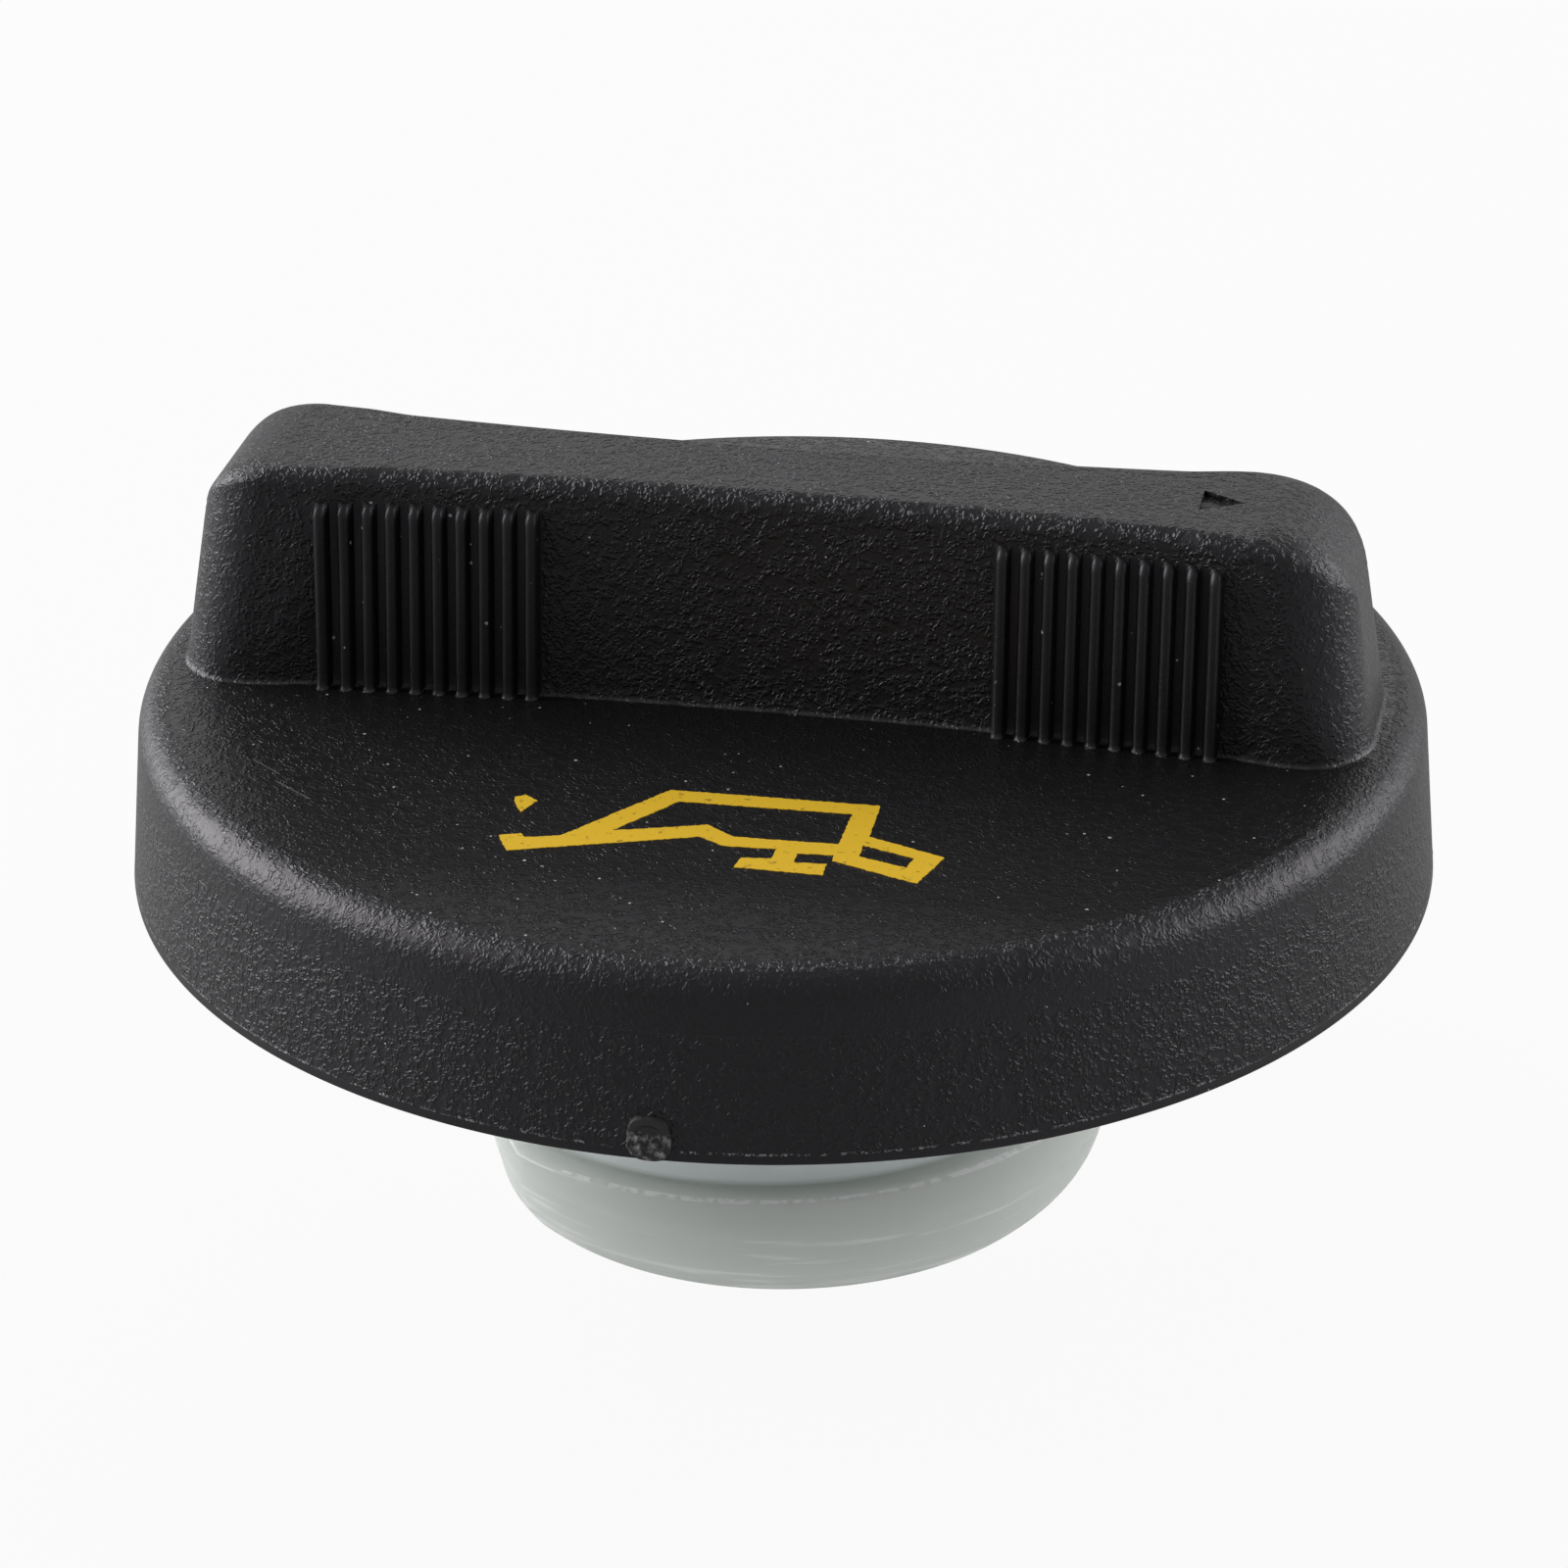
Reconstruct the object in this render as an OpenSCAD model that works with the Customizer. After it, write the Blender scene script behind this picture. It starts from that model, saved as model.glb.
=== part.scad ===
// Oil filler cap: a black moulded grip cap with a waisted finger bar on top,
// a natural nylon bayonet plug snapped into its underside, and a rubber seal
// ring round the plug. Millimetres. The Z axis is the axis of the cap, the
// finger bar lies along X, and Z = 0 is the plug's lower rim.

/* [Cap] */
// Outer diameter of the skirt at its lower edge
cap_d = 70; // [68:0.5:76]
// Height of the skirt, from its lower edge to the top of the cap
skirt_h = 10; // [9:0.25:13]
// How much the skirt's radius shrinks on its way up
skirt_taper = 0.8; // [0.2:0.1:1.6]
// Radius of the rounded top edge
edge_r = 1.9; // [1:0.1:2.4]
// Wall thickness of the skirt
skirt_wall = 2; // [1.4:0.1:2.6]
// Thickness of the top wall
top_wall = 2.2; // [1.8:0.1:3]

/* [Finger bar] */
// Height of the bar above the top of the cap
bar_h = 11.9; // [10:0.1:15]
// Width of the bar across its waist, at its foot
bar_waist_w = 9.2; // [8:0.1:12]
// Width of the bar across its ends, at its foot
bar_end_w = 12.5; // [12.4:0.1:16]
// Radius of the hollow long faces
bar_hollow_r = 280; // [200:5:340]
// Distance from the middle of the bar to where the long faces flare out
bar_flare_x = 24.2; // [22:0.1:26]
// Radius of the long faces where they flare out to the ends
bar_flare_r = 140; // [100:5:180]
// How far each end of the bar stands back from the skirt's top radius
bar_setback = 2.4; // [2.2:0.1:6]
// Draft of the long faces, in degrees
bar_side_draft = 5; // [2:0.5:6]
// Draft of the two ends, in degrees
bar_end_draft = 8; // [1:0.5:10]
// Radius of the bar's upright corners, seen from above
bar_corner_r = 2.8; // [2:0.1:3.6]
// Radius of the bar's nose at each end, seen from the side
bar_nose_r = 4; // [3:0.25:6.5]
// Radius of the bar's long top edges
bar_edge_r = 1; // [0.5:0.1:1.4]
// Wall thickness round the hollow inside the bar
bar_wall = 2.1; // [1.6:0.1:2.5]

/* [Grip ribs] */
// Number of ribs in each of the four groups
rib_count = 10; // [6:1:11]
// Distance from rib to rib
rib_pitch = 1.25; // [1:0.05:1.3]
// Distance from the middle of the bar to the first rib of a group
rib_first = 12.4; // [9:0.1:12.6]
// Height of the ribs above the top of the cap
rib_h = 10.2; // [7:0.1:10.4]
// Width of a rib
rib_w = 0.68; // [0.5:0.02:0.8]
// How far a rib stands out from the bar's face
rib_proud = 0.75; // [0.4:0.05:0.9]
// Height of the slope at a rib's upper end
rib_slope_h = 0.7; // [0.3:0.05:1.2]

/* [Arrow] */
// Length of the arrow sunk into the top of the bar
arrow_l = 2.3; // [1.5:0.1:4]
// Width of the arrow across its tail
arrow_w = 2.5; // [1.5:0.1:3.5]
// Distance from the arrow's tip to the start of the bar's nose
arrow_inset = 2.2; // [0.5:0.1:5]
// Depth of the arrow
arrow_depth = 0.4; // [0.2:0.05:0.8]

/* [Plug] */
// How far the plug stands out below the skirt
plug_drop = 19; // [16:0.5:24]
// Outer diameter of the plug's barrel
barrel_d = 32.6; // [30:0.2:35]
// Wall thickness of the barrel
barrel_wall = 2.6; // [2.2:0.1:3.4]
// Height of the taper at the barrel's lower rim
lead_h = 2.6; // [1.5:0.1:3.5]
// How much the barrel's radius shrinks at its lower rim
lead_in = 0.9; // [0.4:0.1:1.2]
// How far the flange stands out from the barrel
flange_w = 6; // [5.4:0.1:7.5]
// Thickness of the flange
flange_t = 2.2; // [1.8:0.1:3]
// Thickness of the wall that closes the top of the barrel
crown_t = 2.4; // [1.8:0.1:3.5]

/* [Bayonet lugs] */
// How far a lug stands out from the barrel
lug_proud = 1.8; // [1.2:0.1:2.4]
// Height of a lug's flat top above the plug's lower rim
lug_top = 7; // [5.8:0.1:9]
// Height of the slanted upper flank below a lug's full radius
lug_flank_h = 2.1; // [1:0.1:2.6]
// How much a lug's radius shrinks along that flank
lug_flank_in = 0.7; // [0.4:0.1:1.2]
// Angle that each lug covers, in degrees
lug_sweep = 134; // [90:1:145]
// Angle where the first lug begins, in degrees
lug_start = -132; // [-160:1:-120]
// Angle of the sloping leading end of a lug, in degrees
lug_ramp_sweep = 38; // [15:1:45]
// Height that a lug loses along its sloping end
lug_ramp_drop = 0.9; // [0.6:0.1:2.4]

/* [Seal ring] */
// Width of the seal ring's section
seal_w = 4.6; // [3.8:0.1:4.9]
// Height of the seal ring
seal_h = 3.2; // [2.6:0.1:3.8]
// Bevel of the seal ring's lower edges
seal_bevel = 0.5; // [0.2:0.1:0.8]
// Radius of the round sealing bead
bead_r = 0.8; // [0.5:0.1:1.1]

/* [Snap socket] */
// Wall thickness of the ring that holds the flange
socket_wall = 1.6; // [1.2:0.1:2.2]
// How far the snap lip reaches in under the flange
lip_reach = 0.5; // [0.3:0.05:0.8]
// Height of the snap lip
lip_h = 1.4; // [1:0.1:2]
// Width of the two keys that stop the plug from turning
key_w = 4; // [2.5:0.1:6]
// How deep the keys reach into the flange
key_reach = 1.3; // [0.8:0.1:2]
// Number of stiffening webs between the socket and the skirt
web_count = 8; // [4:2:12]
// Thickness of a web
web_t = 1.3; // [0.8:0.1:2]
// Height of a web
web_h = 2.4; // [1:0.1:3]
// Gap round the flange, and beside the keys
fit_gap = 0.2; // [0.1:0.05:0.4]
// Gap between the flange and the snap lip
snap_gap = 0.1; // [0.05:0.05:0.3]
// Gap between the seal ring and the barrel
seal_gap = 0.1; // [0.05:0.05:0.3]

/* [Hidden] */
$fn = 96;
// Overlap that lets joined shapes and cuts run past each other
over = 0.6;

cap_r = cap_d / 2;
rim_r = cap_r - skirt_taper;
skirt_z = plug_drop;
top_z = skirt_z + skirt_h;
under_z = top_z - top_wall;
skirt_slope = atan(skirt_taper / skirt_h);

bar_z = top_z + bar_h;
bar_half = rim_r - bar_setback;
nose_z = bar_z - bar_nose_r;
nose_x = bar_half - tan(bar_end_draft) * (nose_z + bar_nose_r * sin(bar_end_draft) - top_z)
    - bar_nose_r * cos(bar_end_draft);

flare_mid = bar_waist_w / 2 + bar_hollow_r - sqrt(pow(bar_hollow_r, 2) - pow(bar_flare_x, 2))
    - bar_flare_r + sqrt(pow(bar_flare_r, 2) - pow(bar_flare_x, 2));

barrel_r = barrel_d / 2;
bore_r = barrel_r - barrel_wall;
flange_r = barrel_r + flange_w;
flange_z = under_z - flange_t;
lug_r = barrel_r + lug_proud;
socket_r = flange_r + fit_gap;
lip_z = flange_z - snap_gap;
seal_z = flange_z - seal_h;
seal_r = barrel_r + seal_gap;

// Points of an arc round (x, y), from angle a to angle b, in n steps
function arc(x, y, r, a, b, n) = [
    for (i = [0:n])
        let (t = a + (b - a) * i / n) [x + r * cos(t), y + r * sin(t)]
];

// Half length of the bar at height z
function bar_reach(z) = z > nose_z + bar_nose_r * sin(bar_end_draft)
    ? nose_x + sqrt(max(0, pow(bar_nose_r, 2) - pow(z - nose_z, 2)))
    : bar_half - tan(bar_end_draft) * (z - top_z);

// How far the bar's long top edge has rounded inwards at height z
function bar_edge_in(z) = let (e = max(0, z - bar_z + bar_edge_r))
    bar_edge_r - sqrt(max(0, pow(bar_edge_r, 2) - e * e));

// Half width of the bar's ends at height z
function bar_end_half(z) = bar_end_w / 2 - tan(bar_side_draft) * (z - top_z) - bar_edge_in(z);

// Distance of the bar's hollow face from its middle plane, x along and z up
function bar_face(x, z) = let (r = bar_hollow_r + tan(bar_side_draft) * (z - top_z))
    bar_waist_w / 2 + bar_hollow_r - sqrt(r * r - x * x);

// The bar's rounded block before its long faces are hollowed, made smaller
// on all sides by inset
module bar_block(inset, foot_z) {
    ring_h = 0.01;
    steps = 6;
    levels = concat([foot_z], [for (p = arc(0, nose_z, bar_nose_r, bar_end_draft, 90, steps)) p[1]]);
    corner = max(0.8, bar_corner_r - inset);
    hull()
        for (z = levels, sx = [-1, 1], sy = [-1, 1])
            translate([
                sx * (bar_reach(z) - inset - corner),
                sy * (bar_end_half(z) - inset - corner),
                min(z, bar_z - inset) - ring_h
            ])
                cylinder(r = corner, h = ring_h, $fn = 32);
}

// Solid that hollows one long face, with the round of the top edge in it. At
// the foot its radius is foot_r and it starts mid away from the middle plane.
module face_cutter(foot_r, mid, inset) {
    slope = tan(bar_side_draft);
    low = top_z - top_wall - over;
    high = bar_z + over;
    face_r = function(z) foot_r + inset + slope * (z - top_z);
    edge_z = bar_z - bar_edge_r;
    mid_r = face_r(edge_z) + bar_edge_r;
    round_edge = inset > 0 ? [[face_r(bar_z), bar_z]] : arc(mid_r, edge_z, bar_edge_r, 180, 90, 5);
    translate([0, mid + foot_r, 0])
        rotate([0, 0, -90])
            rotate_extrude($fn = 360)
                polygon(concat([[0, low], [face_r(low), low]], round_edge, [[mid_r, high], [0, high]]));
}

// The wide hollow of a long face, held back where the face flares out
module face_hollow(inset)
    intersection() {
        face_cutter(bar_hollow_r, bar_waist_w / 2, inset);
        face_cutter(bar_flare_r, flare_mid, inset);
    }

// The bar, or with an inset the hollow inside it
module bar(inset, foot_z)
    difference() {
        bar_block(inset, foot_z);
        face_hollow(inset);
        mirror([0, 1, 0]) face_hollow(inset);
    }

// One rib: a square ridge that leans with the bar's face and slopes off at
// its upper end
module grip_rib(x)
    translate([x - rib_w / 2, bar_face(x, top_z), top_z])
        rotate([bar_side_draft, 0, 0])
            rotate([90, 0, 90])
                linear_extrude(rib_w)
                    polygon([
                        [-over, -over], [rib_proud, -over], [rib_proud, rib_h - rib_slope_h],
                        [0, rib_h], [-over, rib_h]
                    ]);

module grip_ribs()
    for (sy = [0, 1], sx = [0, 1], i = [0:rib_count - 1])
        mirror([0, sy, 0]) mirror([sx, 0, 0]) grip_rib(rib_first + rib_pitch * i);

// Sunk arrow that points outwards along the bar
module arrow_cut()
    translate([nose_x - arrow_inset, 0, bar_z - arrow_depth])
        linear_extrude(arrow_depth + over)
            polygon([[0, 0], [-arrow_l, arrow_w / 2], [-arrow_l, -arrow_w / 2]]);

// Top wall and skirt, as one turned profile
module cap_shell() {
    edge_x = rim_r + edge_r * (tan(skirt_slope) - 1 / cos(skirt_slope));
    inner_top = rim_r - skirt_wall;
    rotate_extrude()
        polygon(concat(
            [[0, under_z], [inner_top, under_z], [cap_r - skirt_wall, skirt_z], [cap_r, skirt_z]],
            arc(edge_x, top_z - edge_r, edge_r, skirt_slope, 90, 8),
            [[0, top_z]]
        ));
}

// Ring under the top wall that the flange snaps into, with its inner lip
module snap_socket() {
    foot_z = lip_z - lip_h;
    rotate_extrude()
        polygon([
            [socket_r, under_z + over], [socket_r, lip_z], [flange_r - lip_reach, lip_z],
            [flange_r - lip_reach, lip_z - lip_h / 3], [socket_r, foot_z],
            [socket_r + socket_wall, foot_z], [socket_r + socket_wall, under_z + over]
        ]);
}

// Wall that carries the socket ring on up through the hollow of the bar
module hollow_webs()
    intersection() {
        bar(over, under_z - over);
        difference() {
            translate([0, 0, under_z]) cylinder(r = socket_r + socket_wall, h = bar_h + top_wall);
            translate([0, 0, under_z - over]) cylinder(r = socket_r, h = bar_h + top_wall + 2 * over);
        }
    }

module socket_keys()
    for (s = [-1, 1])
        translate([0, s * (socket_r - key_reach / 2 + over / 2), under_z + over / 2 - flange_t / 2])
            cube([key_w, key_reach + over, flange_t + over], center = true);

module underside_webs() {
    web_in = socket_r + socket_wall / 2;
    web_out = rim_r - skirt_wall / 2;
    for (i = [0:web_count - 1])
        rotate([0, 0, (i + 0.5) * 360 / web_count])
            translate([web_in, -web_t / 2, under_z - web_h])
                cube([web_out - web_in, web_t, web_h + over]);
}

module grip_cap()
    color([0.09, 0.09, 0.1])
        union() {
            difference() {
                union() {
                    cap_shell();
                    bar(0, under_z + over);
                    grip_ribs();
                }
                bar(bar_wall, under_z - over);
                arrow_cut();
            }
            hollow_webs();
            snap_socket();
            socket_keys();
            underside_webs();
        }

// One lug, with its leading end cut down to a slope
module lug() {
    ramp_len = lug_r * lug_ramp_sweep * PI / 180;
    ramp_tilt = atan(lug_ramp_drop / ramp_len);
    difference() {
        rotate_extrude(angle = lug_sweep)
            polygon([
                [bore_r + barrel_wall / 2, 0],
                [barrel_r - lead_in, 0],
                [lug_r - lug_flank_in, lead_h],
                [lug_r, lead_h + lug_flank_h],
                [lug_r, lug_top],
                [bore_r + barrel_wall / 2, lug_top]
            ]);
        rotate([0, 0, lug_ramp_sweep])
            translate([0, 0, lug_top])
                rotate([ramp_tilt, 0, 0])
                    translate([0, -2 * ramp_len, 0])
                        cube([lug_r + over, 2 * ramp_len, 2 * lug_top]);
    }
}

// Barrel, crown and flange, as one turned profile
module plug_body()
    rotate_extrude()
        polygon([
            [0, under_z - crown_t], [bore_r, under_z - crown_t],
            [bore_r, 0], [barrel_r - lead_in, 0], [barrel_r, lead_h],
            [barrel_r, flange_z], [flange_r, flange_z], [flange_r, under_z], [0, under_z]
        ]);

module bayonet_plug()
    color([0.84, 0.86, 0.85])
        difference() {
            union() {
                plug_body();
                for (i = [0, 1])
                    rotate([0, 0, lug_start + 180 * i]) lug();
            }
            for (s = [-1, 1])
                translate([0, s * (flange_r - key_reach / 2 + over), under_z - flange_t / 2])
                    cube([key_w + 2 * fit_gap, key_reach + 2 * over, flange_t + 2 * over], center = true);
        }

module seal_ring()
    color([0.14, 0.14, 0.15])
        rotate_extrude()
            polygon(concat(
                [[seal_r, flange_z], [seal_r, seal_z + seal_bevel], [seal_r + seal_bevel, seal_z]],
                arc(seal_r + seal_w / 2, seal_z, bead_r, 180, 360, 8),
                [[seal_r + seal_w - seal_bevel, seal_z], [seal_r + seal_w, seal_z + seal_bevel],
                [seal_r + seal_w, flange_z]]
            ));

grip_cap();
bayonet_plug();
seal_ring();
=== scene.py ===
import math

import bmesh
import bpy
import numpy as np
from mathutils import Matrix, Vector
from mathutils.geometry import tessellate_polygon


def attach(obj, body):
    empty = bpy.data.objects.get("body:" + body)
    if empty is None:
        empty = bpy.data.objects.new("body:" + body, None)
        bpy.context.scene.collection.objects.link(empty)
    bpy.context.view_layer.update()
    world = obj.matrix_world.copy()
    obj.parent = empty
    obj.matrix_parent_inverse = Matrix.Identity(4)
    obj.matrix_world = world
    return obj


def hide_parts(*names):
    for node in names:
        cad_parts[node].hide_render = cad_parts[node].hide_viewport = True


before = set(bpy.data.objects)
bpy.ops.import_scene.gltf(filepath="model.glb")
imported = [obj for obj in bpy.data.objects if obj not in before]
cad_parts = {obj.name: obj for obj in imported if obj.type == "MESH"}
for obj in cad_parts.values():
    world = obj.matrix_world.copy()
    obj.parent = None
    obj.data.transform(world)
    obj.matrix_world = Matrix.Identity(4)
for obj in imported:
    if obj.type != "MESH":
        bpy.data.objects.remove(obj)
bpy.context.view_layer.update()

mm = 0.001
skirtFoot = 19.0        # height of the skirt's lower edge, mm
discTop = 29.0          # height of the cap's flat top, mm
topWall = 2.2           # thickness of the cap's flat top, mm

scene = bpy.context.scene
scene.view_settings.view_transform = "Standard"


class Wire:                       # an output socket that Python's operators work on
    def __init__(self, finish, made, output=0):
        self.finish, self.made, self.socket = finish, made, made.outputs[output]

    def other(self, output):      # another output of the same node
        return Wire(self.finish, self.made, output)

    def maths(self, operation, *values):
        return self.finish.node("ShaderNodeMath", {"operation": operation}, dict(enumerate(values)))

    def clipped(self):            # held between 0 and 1
        settings = {"operation": "ADD", "use_clamp": True}
        return self.finish.node("ShaderNodeMath", settings, {0: self, 1: 0.0})

    def root(self): return self.maths("SQRT", self)
    def __add__(self, other): return self.maths("ADD", self, other)
    def __radd__(self, other): return self.maths("ADD", other, self)
    def __sub__(self, other): return self.maths("SUBTRACT", self, other)
    def __rsub__(self, other): return self.maths("SUBTRACT", other, self)
    def __mul__(self, other): return self.maths("MULTIPLY", self, other)
    def __rmul__(self, other): return self.maths("MULTIPLY", other, self)
    def __gt__(self, other): return self.maths("GREATER_THAN", self, other)
    def __lt__(self, other): return self.maths("LESS_THAN", self, other)
    def __abs__(self): return self.maths("ABSOLUTE", self)


class Finish:                     # one material and its nodes
    def __init__(self, name):
        self.material = bpy.data.materials.new(name)
        self.material.use_nodes = True
        self.tree = self.material.node_tree
        self.tree.nodes.clear()

    def node(self, kind, settings=None, sockets=None, output=0):
        made = self.tree.nodes.new(kind)
        for key, value in (settings or {}).items():
            setattr(made, key, value)
        for key, value in (sockets or {}).items():
            if isinstance(value, Wire):
                self.tree.links.new(value.socket, made.inputs[key])
            else:
                made.inputs[key].default_value = value
        return None if output is None else Wire(self, made, output)

    def where(self):              # the Object coordinates, in metres
        return self.node("ShaderNodeTexCoord", output="Object")

    def axes(self, where):        # x, y and z of them, in millimetres
        split = self.node("ShaderNodeSeparateXYZ", {}, {"Vector": where})
        return split * 1000.0, split.other(1) * 1000.0, split.other(2) * 1000.0

    def noise(self, where, scale, detail, warp=0.0):
        sockets = {"Vector": where, "Scale": scale, "Detail": detail, "Distortion": warp}
        return self.node("ShaderNodeTexNoise", {}, sockets)

    def bump(self, height, depth, strength=1.0):     # depth in mm
        sockets = {"Height": height, "Strength": strength, "Distance": depth * mm}
        return self.node("ShaderNodeBump", {}, sockets)

    def mixed(self, factor, first, second):          # two colours
        sockets = {"Factor": factor, "A": first, "B": second}
        return self.node("ShaderNodeMix", {"data_type": "RGBA"}, sockets, 2)

    def plastic(self, colour, roughness, more=None):     # the finished surface; more holds its other sockets
        sockets = {"Base Color": colour, "Roughness": roughness}
        sockets.update(more or {})
        return self.out(self.node("ShaderNodeBsdfPrincipled", {}, sockets))

    def out(self, shader):
        self.node("ShaderNodeOutputMaterial", {}, {"Surface": shader}, None)
        return self.material


def grey(level):
    return (level, level, level, 1)


def smoothStep(t):       # 0 up to t = 0, 1 from t = 1, 3tt - 2ttt between
    t = np.clip(t, 0, 1)
    return t * t * (3 - 2 * t)


def squared(t, power):   # size of t to a power below 1, sign kept: on sine and cosine a rounded square
    return np.sign(t) * np.abs(t) ** power


def ragged(angles, knots, seed):
    # random values from 0 to 1 at evenly spaced knots round the circle, straight lines between
    values = np.random.default_rng(seed).random(knots)
    return np.interp(angles, np.linspace(-np.pi, np.pi, knots + 1), np.append(values, values[0]))


def arcPoints(x, z, radius, start, stop, steps):
    # centre + radius * (cosine, sine) at even steps of the angle, in degrees
    a = np.radians(np.linspace(start, stop, steps + 1))
    return np.stack([x + radius * np.cos(a), z + radius * np.sin(a)], -1)


def turned(profile, angles):
    # radius and height of each profile point, carried round the axis: (r cosine, r sine, z)
    r, z = profile[:, 0:1], profile[:, 1:2]
    x, y, z = np.broadcast_arrays(r * np.cos(angles), r * np.sin(angles), z)
    return np.stack([x, y, z], -1)


def ringFaces(rows, columns):      # one quad between neighbours, the columns closed into a ring
    r, c = np.meshgrid(np.arange(rows - 1), np.arange(columns), indexing="ij")
    here, beside = r * columns + c, r * columns + (c + 1) % columns
    return np.stack([here, beside, beside + columns, here + columns], -1).reshape(-1, 4)


def gridPart(grid):                # a grid's points with its faces
    return grid, ringFaces(*grid.shape[:2])


def boxParts(boxes):
    # blocks, each (x0, x1, y0, y1, z0, z1, turn in degrees): low + (high - low) * 0 or 1, turned round the axis
    ends = np.array([[i, j, k] for i in (0, 1) for j in (0, 1) for k in (0, 1)])
    sides = np.array([[0, 1, 3, 2], [4, 6, 7, 5], [0, 4, 5, 1], [2, 3, 7, 6], [0, 2, 6, 4], [1, 5, 7, 3]])
    b = np.array(boxes, float)
    low, high, turn = b[:, None, 0:6:2], b[:, None, 1:6:2], np.radians(b[:, 6])[:, None]
    p = low + (high - low) * ends
    x = p[..., 0] * np.cos(turn) - p[..., 1] * np.sin(turn)
    y = p[..., 0] * np.sin(turn) + p[..., 1] * np.cos(turn)
    faces = sides + len(ends) * np.arange(len(b))[:, None, None]
    return np.stack([x, y, p[..., 2]], -1).reshape(-1, 3), faces.reshape(-1, 4)


def joinParts(parts):              # several (points, faces) as one
    points, faces, count = [], [], 0
    for p, f in parts:
        points.append(np.asarray(p, float).reshape(-1, 3))
        faces += (np.asarray(f) + count).tolist()
        count += len(points[-1])
    return np.concatenate(points), faces


def makeObject(name, parts, material=None, sharpest=38):
    points, faces = joinParts(parts)
    mesh = bpy.data.meshes.new(name)
    mesh.from_pydata((points * mm).tolist(), [], faces)
    build = bmesh.new()
    build.from_mesh(mesh)
    bmesh.ops.remove_doubles(build, verts=build.verts, dist=0.002 * mm)
    bmesh.ops.recalc_face_normals(build, faces=build.faces)
    build.to_mesh(mesh)
    build.free()
    if material:
        mesh.materials.append(material)
    mesh.shade_smooth()
    mesh.set_sharp_from_angle(angle=math.radians(sharpest))
    piece = bpy.data.objects.new(name, mesh)
    scene.collection.objects.link(piece)
    return piece


def cutAway(piece, parts, sharpest=38):   # takes closed blocks out of a piece and bakes the cut into its mesh
    cutter = makeObject(piece.name + "Cut", parts)
    cut = piece.modifiers.new("cut", "BOOLEAN")
    cut.operation, cut.solver, cut.object = "DIFFERENCE", "EXACT", cutter
    bpy.context.view_layer.update()
    carved = bpy.data.meshes.new_from_object(piece.evaluated_get(bpy.context.evaluated_depsgraph_get()))
    piece.modifiers.remove(cut)
    piece.data = carved
    bpy.data.objects.remove(cutter)
    carved.shade_smooth()
    carved.set_sharp_from_angle(angle=math.radians(sharpest))


def dress(piece, slotName, *nodes):
    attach(piece, "root")
    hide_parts(*nodes)


# lengths in mm; the scales are cells per metre
blackSet = {
    "colour": (0.0082, 0.008, 0.0086, 1), "paintedLightTint": (1.0, 0.95, 1.03, 1), "roughness": 0.42, "discShine": 0.08,
    "ridgeScale": 2900.0, "ridgeWarp": 0.4, "ridgeSharp": 6.0, "patchScale": 1700.0, "patchFrom": 0.36,
    "patchSharp": 6.0, "fineScale": 7000.0, "fineShare": 0.4, "grainDepth": 0.055,
    "onSmooth": 0.12, "onDisc": 0.52, "offEnds": 0.45, "offRim": 0.55,                 # shares of the grain
    "near": 0.1, "ribFrom": 12.0, "ribTo": 24.15, "ribTop": 10.3, "ribOut": 7.2, "lipTop": 0.5,
    "insideTop": 26.9, "insideOut": 33.6, "rimLow": 3.2, "rimHigh": 0.2, "endFrom": 25.0, "endFade": 0.25,
    "discOut": 32.6,
    "paleMarkAndHighlightColour": (0.5, 0.5, 0.51, 1), "dustScale": 950.0, "dustSize": 0.045, "dustOnDisc": 0.045,
    "dustOnRibs": 0.05, "dustChance": 0.4, "dustPale": 0.9, "footLow": 0.02, "footHigh": 0.13, "footHighlightPale": 0.12,
    "flashLow": 0.49, "flashHigh": 0.62, "flashPale": 0.4, "scratchHalf": 0.05, "scratchPale": 0.16,
    "scratches": (((-24.99, -15.16), (-23.17, -16.58)), ((-23.15, -17.39), (-20.92, -19.05)))}


def between(value, low, high):    # 1 inside the band
    return (value > low) * (value < high)


def stroke(x, y, start, end, halfWide):        # 1 within halfWide of a straight line, all in mm
    along, length = np.subtract(end, start), math.dist(start, end)
    ux, uy = along / length
    t = (x - start[0]) * ux + (y - start[1]) * uy
    off = (x - start[0]) * uy - (y - start[1]) * ux
    return between(t, 0.0, length) * (abs(off) < halfWide)


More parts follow.
